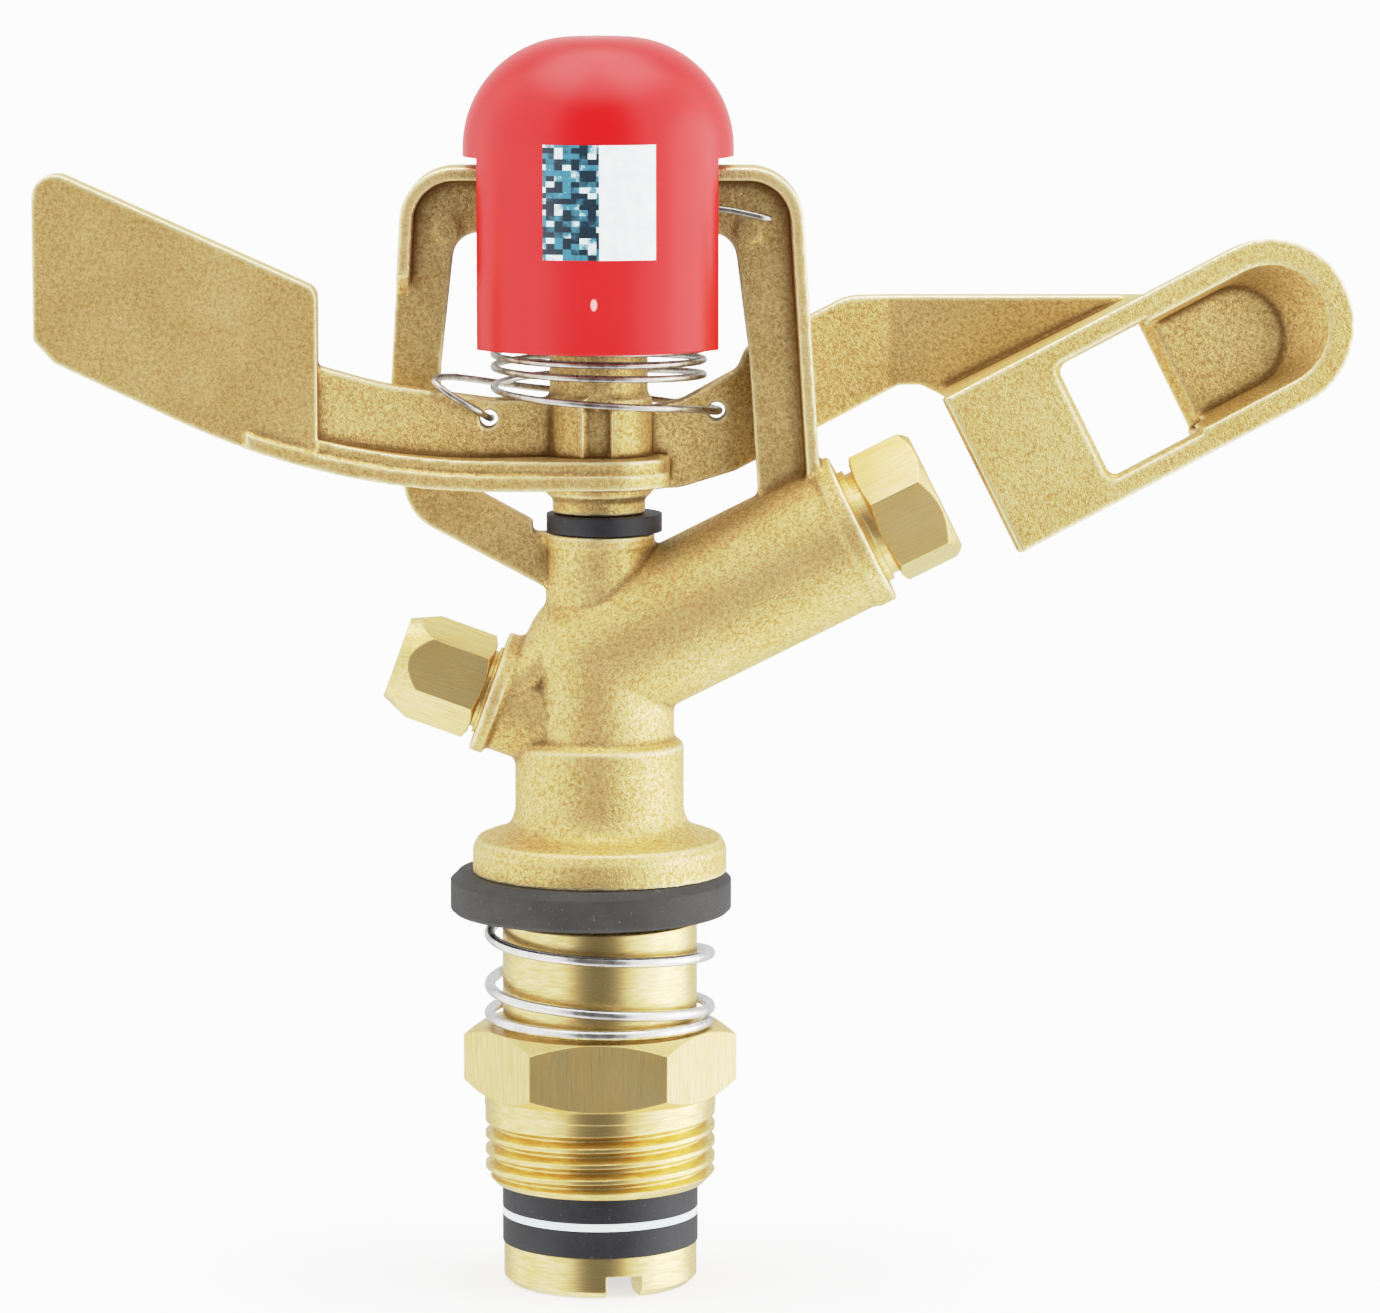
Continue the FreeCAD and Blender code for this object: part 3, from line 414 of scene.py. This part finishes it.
def rubber(name, dark, light, roughness=0.6, speck=0.35 * MM):
    """Moulded rubber or matte plastic with small specks."""
    m = Nodes(name)
    fine = m.noise(speck, 3, 0.6)
    cloud = m.noise(4 * MM, 2, 0.5)
    colour = m.mix(m.ranged(cloud, 0.3, 0.7), dark, light)
    colour = m.mix(m.ranged(fine, 0.62, 0.72), colour, tuple(min(1, c * 2.6) for c in light[:3]) + (1,))
    m.set(Base_Color=colour, Roughness=m.ranged(fine, 0.3, 0.7, roughness - 0.08, roughness + 0.1),
          Specular_IOR_Level=0.3)
    m.set(Normal=m.bump(fine, 0.03 * MM, 0.5, m.rounded(0.25 * MM)))
    return m.material


# Place and size of the gate mark's small bump and of the painted highlight on it
GATE_AND_GLINT_CENTRE, GATE_AND_GLINT_RADII = (-0.3 * MM, 91.2 * MM), (0.42 * MM, 0.75 * MM)


def red_plastic():
    """Injection-moulded red plastic, with the gate mark on the front: a small real bump, coloured pale pink
    as a painted highlight.
    """
    m = Nodes("red_plastic")
    fine = m.noise(1.1 * MM, 2, 0.5)
    cloud = m.noise(12 * MM, 2, 0.5)
    colour = m.mix(m.ranged(cloud, 0.3, 0.7), rgb(194, 12, 15), rgb(204, 15, 18))
    gate_and_glint = m.gate_mark_and_glint(GATE_AND_GLINT_CENTRE, GATE_AND_GLINT_RADII)
    # Painted highlight: the gate mark's bump is coloured pale pink, as the glint on it.
    colour = m.mix(gate_and_glint, colour, rgb(246, 150, 146))
    m.set(Base_Color=colour, Roughness=m.ranged(fine, 0.3, 0.7, 0.24, 0.27), Specular_IOR_Level=0.32)
    m.set(Normal=m.bump(m.math("ADD", fine, gate_and_glint), 0.01 * MM, 0.3, m.rounded(0.3 * MM)))
    return m.material


BLOCK_HEIGHT = 0.62 * MM
BLOCK_WIDTH = BLOCK_HEIGHT * 1.5


def label_print():
    """Generic printed film: a mosaic of blue-green blocks on the left half, plain white on the right."""
    m = Nodes("label_print")
    low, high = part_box("cap_label")
    middle = (low.x + high.x) / 2
    x, z = m.axis("X"), m.axis("Z")
    cell = m.add("ShaderNodeCombineXYZ")
    m.link(m.math("FLOOR", m.math("DIVIDE", x, BLOCK_WIDTH)), cell.inputs[0])
    m.link(m.math("FLOOR", m.math("DIVIDE", z, BLOCK_HEIGHT)), cell.inputs[2])
    random = m.add("ShaderNodeTexWhiteNoise", noise_dimensions="3D")
    m.link(cell.outputs[0], random.inputs["Vector"])
    smear = m.noise(1.5 * MM, 3, 0.6)
    value = m.math("ADD", m.math("MULTIPLY", random.outputs[0], 0.6), m.math("MULTIPLY", smear, 0.5))
    ink = m.mix(m.ranged(value, 0.46, 0.6), rgb(14, 34, 48), rgb(52, 112, 132))
    ink = m.mix(m.ranged(value, 0.68, 0.76), ink, rgb(206, 226, 232))
    plain = m.mix(m.ranged(smear, 0.35, 0.7), rgb(226, 234, 240), rgb(250, 252, 252))
    edge = m.math("GREATER_THAN", x, middle)
    m.set(Base_Color=m.mix(edge, ink, plain), Roughness=0.3)
    m.set(Normal=m.bump(smear, 0.01 * MM, 0.4))
    return m.material


HEX_TOP = 7.8 * MM
BARREL_RISE, REAR_RISE = 26.5, 20.0  # degrees above the horizon

CAST = cast_brass()
BRASS = machined_brass("machined_brass", drawn=(0.0, HEX_TOP))
NOZZLE_BRASS = machined_brass("nozzle_brass", lean=90 - BARREL_RISE)
REAR_BRASS = machined_brass("rear_nozzle_brass", lean=-(90 - REAR_RISE))
STEEL = steel("spring_steel", 0.28)
BRIGHT_STEEL = steel("bright_spring_steel", 0.2, rgb(196, 194, 190), rgb(236, 235, 232))
PIN_STEEL = steel("stainless", 0.3)
DUST = rubber("dust_cap_plastic", rgb(40, 39, 38), rgb(50, 49, 47), 0.62)
WASHER = rubber("washer_rubber", rgb(24, 24, 27), rgb(34, 34, 38), 0.5)
PTFE = rubber("ptfe", rgb(214, 226, 228), rgb(228, 238, 238), 0.45)
BLACK = rubber("straightener_plastic", rgb(40, 40, 42), rgb(50, 50, 52), 0.5)
BUSH = rubber("bush_plastic", rgb(216, 214, 204), rgb(228, 226, 218), 0.45)
RED = red_plastic()
PRINT = label_print()

BY_SLOT = {
    "machined_brass": BRASS, "cast_brass": CAST, "spring_steel": STEEL, "stainless": PIN_STEEL,
    "dust_cap_plastic": DUST, "washer_rubber": WASHER, "ptfe": PTFE, "straightener_plastic": BLACK,
    "bush_plastic": BUSH, "red_plastic": RED, "label": PRINT}

for part in frame["record"]["subparts"]:
    node = frame["nodes"][part["node"]]
    node.data.materials.clear()
    node.data.materials.append(BY_SLOT[part["material_slot"]])
for name, material in (("main_nozzle", NOZZLE_BRASS), ("rear_nozzle", REAR_BRASS)):
    frame["nodes"][name].data.materials[0] = material


# ---------------------------------------------------------------- castings
SPRING_HOLES = ((13.3, 77.9), (-12.3, 77.6))  # X and Z of the holes' axes, in millimetres
HOLD_RADIUS, HOLD_FADE = 1.3 * MM, 0.5 * MM


def arm_hold(points):
    """1 near the arm's two spring holes, so that they keep their size, falling to 0 round them."""
    hold = np.zeros(len(points))
    for x, z in SPRING_HOLES:
        away = np.hypot(points[:, 0] - x * MM, points[:, 2] - z * MM)
        hold = np.maximum(hold, np.clip((HOLD_RADIUS + HOLD_FADE - away) / HOLD_FADE, 0, 1))
    return hold


# Recessed panel in the front of the hub, in millimetres
PANEL_X, PANEL_HALF_WIDTH = -0.1, 1.7
PANEL_BOTTOM, PANEL_TOP, PANEL_DEPTH = 71.2, 80.2, 0.35
PANEL_SIDE_FADE, PANEL_BOTTOM_FADE, PANEL_TOP_FADE = 0.35, 0.5, 0.3
LIP_HALF_WIDTH, LIP_SLOPE = 2.0, 0.75
HUB_FRONT, HUB_MIDDLE = -8.0, -3.5  # Y range of the hub's front wall


def hub_recess(points):
    """Sinks a shallow panel with a pointed lip above it into the front of the hub."""
    x, y, z = points.T / MM
    aside = np.abs(x - PANEL_X)
    across = np.clip((PANEL_HALF_WIDTH - aside) / PANEL_SIDE_FADE, 0, 1)
    top = PANEL_TOP - LIP_SLOPE * np.clip(LIP_HALF_WIDTH - aside, 0, LIP_HALF_WIDTH)
    along = np.clip((z - PANEL_BOTTOM) / PANEL_BOTTOM_FADE, 0, 1) * np.clip((top - z) / PANEL_TOP_FADE, 0, 1)
    share = across * along * ((y < HUB_MIDDLE) & (y > HUB_FRONT))
    points = points.copy()
    points[:, 1] += share * share * (3 - 2 * share) * PANEL_DEPTH * MM
    return points


VOXEL = 0.22 * MM

new_piece("body_cast", cast_copy("body_casting", VOXEL, convex_steps=2, concave_steps=16),
          "head", "cast_brass", CAST, "body_casting")
new_piece("arm_cast", cast_copy("arm_casting", VOXEL, 2, 4, arm_hold, hub_recess),
          "arm", "cast_brass", CAST, "arm_casting")


# ---------------------------------------------------------------- springs
BEARING_WIRE = 1.25 * MM
BEARING_TURNS = (1.0, 2.0, 0.9)  # closed at the bottom, open, closed at the top
BEARING_START = -10.0  # degrees
CLOSED_PITCH = BEARING_WIRE * 1.08
COIL_LEAN = 0.35 * MM


def bearing_spring():
    """Compression spring, wound left-handed, with closed ends."""
    low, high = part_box("bearing_spring")
    radius = (high.x - low.x - BEARING_WIRE) / 2
    bottom, top = low.z + BEARING_WIRE / 2, high.z - BEARING_WIRE / 2
    low_turns, open_turns, top_turns = BEARING_TURNS
    open_low, open_high = bottom + low_turns * CLOSED_PITCH, top - top_turns * CLOSED_PITCH
    points = []
    steps = 240
    for step in range(steps + 1):
        turn = sum(BEARING_TURNS) * step / steps
        angle = math.radians(BEARING_START - 360 * turn)
        if turn < low_turns:
            height = bottom + turn * CLOSED_PITCH
        elif turn > low_turns + open_turns:
            height = open_high + (turn - low_turns - open_turns) * CLOSED_PITCH
        else:
            share = (turn - low_turns) / open_turns
            lean = COIL_LEAN * math.sin(math.pi * share) * math.cos(2 * math.pi * turn)
            height = open_low + share * (open_high - open_low) + lean
        points.append((radius * math.cos(angle), radius * math.sin(angle), height))
    piece = new_piece("bearing_coil", tube(points, BEARING_WIRE / 2, 18), "inlet", "spring_steel",
                      BRIGHT_STEEL, "bearing_spring")
    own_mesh(piece)


# The arm's torsion spring, in millimetres and turns, as in the CAD
ARM_WIRE, ARM_COIL_RADIUS = 0.8, 11.85
ARM_TURNS, ARM_START, POINTS_PER_TURN = 11.02, -24.0, 16
ARM_COIL_Z, ARM_PITCH, ARM_LIFT, ARM_LIFT_TURNS = 78.7, 1.28, 2.8, 0.52
ARM_TAIL = [(-12.1, 0.2, 77.3), (-12.3, -3.1, 77.6), (-13.5, -6.4, 78.7), (-17.2, -7.0, 81.0),
            (-18.3, -5.2, 82.1), (-16.6, -1.8, 82.1), (-13.0, 3.4, 81.2), (-7.5, 8.2, 80.0),
            (0, 10.0, 79.2), (7.2, 9.3, 78.4), (11.8, 7.0, 78.0), (13.5, 3.6, 77.9), (13.2, 0.0, 78.0)]
ARM_HOOK = [(9.6, -6.4, 97.4), (9.3, -5.0, 99.6), (11.0, -3.4, 101.0), (14.2, -3.0, 101.0),
            (19.4, -2.9, 99.9)]


def arm_spring():
    """Torsion spring: tail threaded through the arm's web, winding, and hook in the bridge's pocket."""
    winding = []
    steps = round(ARM_TURNS * POINTS_PER_TURN)
    for step in range(steps + 1):
        turn = ARM_TURNS * step / steps
        angle = math.radians(ARM_START - 360 * turn)
        height = ARM_COIL_Z + ARM_PITCH * turn + ARM_LIFT * (1 - math.exp(-turn / ARM_LIFT_TURNS))
        winding.append((ARM_COIL_RADIUS * math.cos(angle), ARM_COIL_RADIUS * math.sin(angle), height))
    points = [point * MM for point in smooth_curve(ARM_TAIL + winding + ARM_HOOK, 4)]
    piece = new_piece("arm_coil", tube(points, ARM_WIRE / 2 * MM, 14), None, "spring_steel", STEEL)
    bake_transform(piece)
    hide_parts("arm_spring")


bearing_spring()
arm_spring()


# ---------------------------------------------------------------- camera, floor and light
TARGET = Vector((10.3, 0.0, 50.1)) * MM
DISTANCE = 0.710
ELEVATION = math.radians(7.65)
FOCAL_PIXELS, IMAGE_WIDTH = 6255, 1380  # in pixels of the photo

FLOOR_REACH = 14.0
WALL_REACH, WALL_HEIGHT, WALL_DEPTH, WALL_SIDES = 13.0, 6.0, 1.0, 48

# Light round the horizon from the front (0) by the sides (0.5) to the back (1), as a share of the
# brightest. The ramp's own two stops come first.
DOME_RING = ((0.0, 0.08), (1.0, 0.42), (0.02, 0.08), (0.16, 1.0), (0.70, 1.0), (0.90, 0.42))
DOME_RING_LIGHT = 2.4
DOME_RIGHT_GAIN = 0.12
# Each: sine of the angle where it starts, sine of the angle where it is full, light added
RIGHT_BOX = (0.82, 0.97, 2.6)
CEILING = (0.70, 0.97, 3.8)
FLOOR_GLOW = (0.4, 0.9, 0.8)

# Light in the scene and the level it is shown at; both ends of the curve are fixed
WHITE = 4.0
TONE = ((0.18, 0.18), (0.48, 0.445), (0.70, 0.597), (1.0, 0.69), (1.44, 0.78), (2.1, 0.87), (3.0, 0.95))


def camera():
    data = bpy.data.cameras.new("camera")
    data.sensor_width = 36
    data.lens = FOCAL_PIXELS / IMAGE_WIDTH * data.sensor_width
    data.clip_start = 0.01
    eye = bpy.data.objects.new("camera", data)
    bpy.context.scene.collection.objects.link(eye)
    eye.location = TARGET + DISTANCE * Vector((0, -math.cos(ELEVATION), math.sin(ELEVATION)))
    eye.rotation_euler = (math.pi / 2 - ELEVATION, 0, 0)
    bpy.context.scene.camera = eye


def studio_piece(name, points, faces, material):
    """A piece of the studio round the object."""
    mesh = bpy.data.meshes.new(name)
    mesh.from_pydata(points, [], faces)
    mesh.materials.append(material)
    piece = bpy.data.objects.new(name, mesh)
    bpy.context.scene.collection.objects.link(piece)
    return piece


def pale_floor():
    """Plain pale floor under the part."""
    floor_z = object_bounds()[0].z
    m = Nodes("paper")
    m.set(Base_Color=(0.93, 0.93, 0.93, 1), Roughness=0.9,
          Emission_Color=(1, 1, 1, 1), Emission_Strength=0.9)
    corners = [(x * FLOOR_REACH, y * FLOOR_REACH, floor_z) for x, y in ((-1, -1), (1, -1), (1, 1), (-1, 1))]
    floor = studio_piece("floor", corners, [(0, 1, 2, 3)], m.material)
    floor.visible_glossy = False
    floor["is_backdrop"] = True


def pale_backdrop():
    """Plain white wall far behind the part on every side, which only the camera sees."""
    m = Nodes("backdrop")
    m.set(Base_Color=(0, 0, 0, 1), Specular_IOR_Level=0.0,
          Emission_Color=(1, 1, 1, 1), Emission_Strength=3.8)
    turns = [2 * math.pi * k / WALL_SIDES for k in range(WALL_SIDES)]
    rings = [(WALL_REACH * math.cos(turn), WALL_REACH * math.sin(turn), height)
             for height in (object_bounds()[0].z - WALL_DEPTH, WALL_HEIGHT) for turn in turns]
    faces = [(k, (k + 1) % WALL_SIDES, WALL_SIDES + (k + 1) % WALL_SIDES, WALL_SIDES + k)
             for k in range(WALL_SIDES)]
    wall = studio_piece("backdrop", rings, faces, m.material)
    wall.visible_glossy = wall.visible_diffuse = wall.visible_shadow = wall.visible_transmission = False
    wall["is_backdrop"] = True


def studio_dome():
    """Soft light: a bright ceiling and sides, a dimmer back, and a dark patch in front of the part."""
    world = bpy.data.worlds.new("world")
    world.use_nodes = True
    tree = world.node_tree

    def add(kind, *inputs, **settings):
        node = tree.nodes.new(kind)
        for key, value in settings.items():
            setattr(node, key, value)
        for index, value in enumerate(inputs):
            if isinstance(value, bpy.types.NodeSocket):
                tree.links.new(value, node.inputs[index])
            else:
                node.inputs[index].default_value = value
        return node.outputs[0]

    def math_node(operation, first, second=0.0):
        return add("ShaderNodeMath", first, second, operation=operation)

    def rise(value, low, high, amount):
        return add("ShaderNodeMapRange", value, low, high, 0.0, amount, interpolation_type="SMOOTHSTEP")

    parts = tree.nodes.new("ShaderNodeSeparateXYZ")
    tree.links.new(tree.nodes.new("ShaderNodeTexCoord").outputs["Generated"], parts.inputs[0])
    x, y, z = parts.outputs
    level = math_node("SQRT", math_node("ADD", math_node("MULTIPLY", x, x), math_node("MULTIPLY", y, y)))
    facing = math_node("DIVIDE", y, math_node("MAXIMUM", level, 1e-4))
    ramp = tree.nodes.new("ShaderNodeValToRGB")
    ramp.color_ramp.interpolation = "EASE"
    for index, (place, light) in enumerate(DOME_RING):
        stops = ramp.color_ramp.elements
        stop = stops[index] if index < 2 else stops.new(place)
        stop.position = place
        stop.color = (light, light, light, 1)
    tree.links.new(math_node("MULTIPLY", math_node("ADD", facing, 1.0), 0.5), ramp.inputs[0])
    side = math_node("ADD", math_node("MULTIPLY", x, DOME_RIGHT_GAIN), 1.0)
    ring = math_node("MULTIPLY", math_node("MULTIPLY", ramp.outputs[0], DOME_RING_LIGHT), side)
    below = math_node("MULTIPLY", z, -1.0)
    light = ring
    for box in (rise(z, *CEILING), rise(below, *FLOOR_GLOW), rise(x, *RIGHT_BOX)):
        light = math_node("ADD", light, box)
    tree.links.new(light, tree.nodes["Background"].inputs[1])
    tree.nodes["Background"].inputs[0].default_value = (1.0, 1.0, 1.0, 1)
    bpy.context.scene.world = world


def tone_curve():
    """Soft shoulder, so that bright brass pales as it does in a photograph."""
    view = bpy.context.scene.view_settings
    view.view_transform = "Standard"
    view.use_curve_mapping = True
    curves = view.curve_mapping
    curves.white_level = (WHITE, WHITE, WHITE)
    curve = curves.curves[3]
    for light, shown in TONE:
        curve.points.new(light / WHITE, shown)
    curve.points[0].location = (0, 0)
    curve.points[-1].location = (1, 1)
    curves.update()


camera()
pale_floor()
pale_backdrop()
studio_dome()
tone_curve()
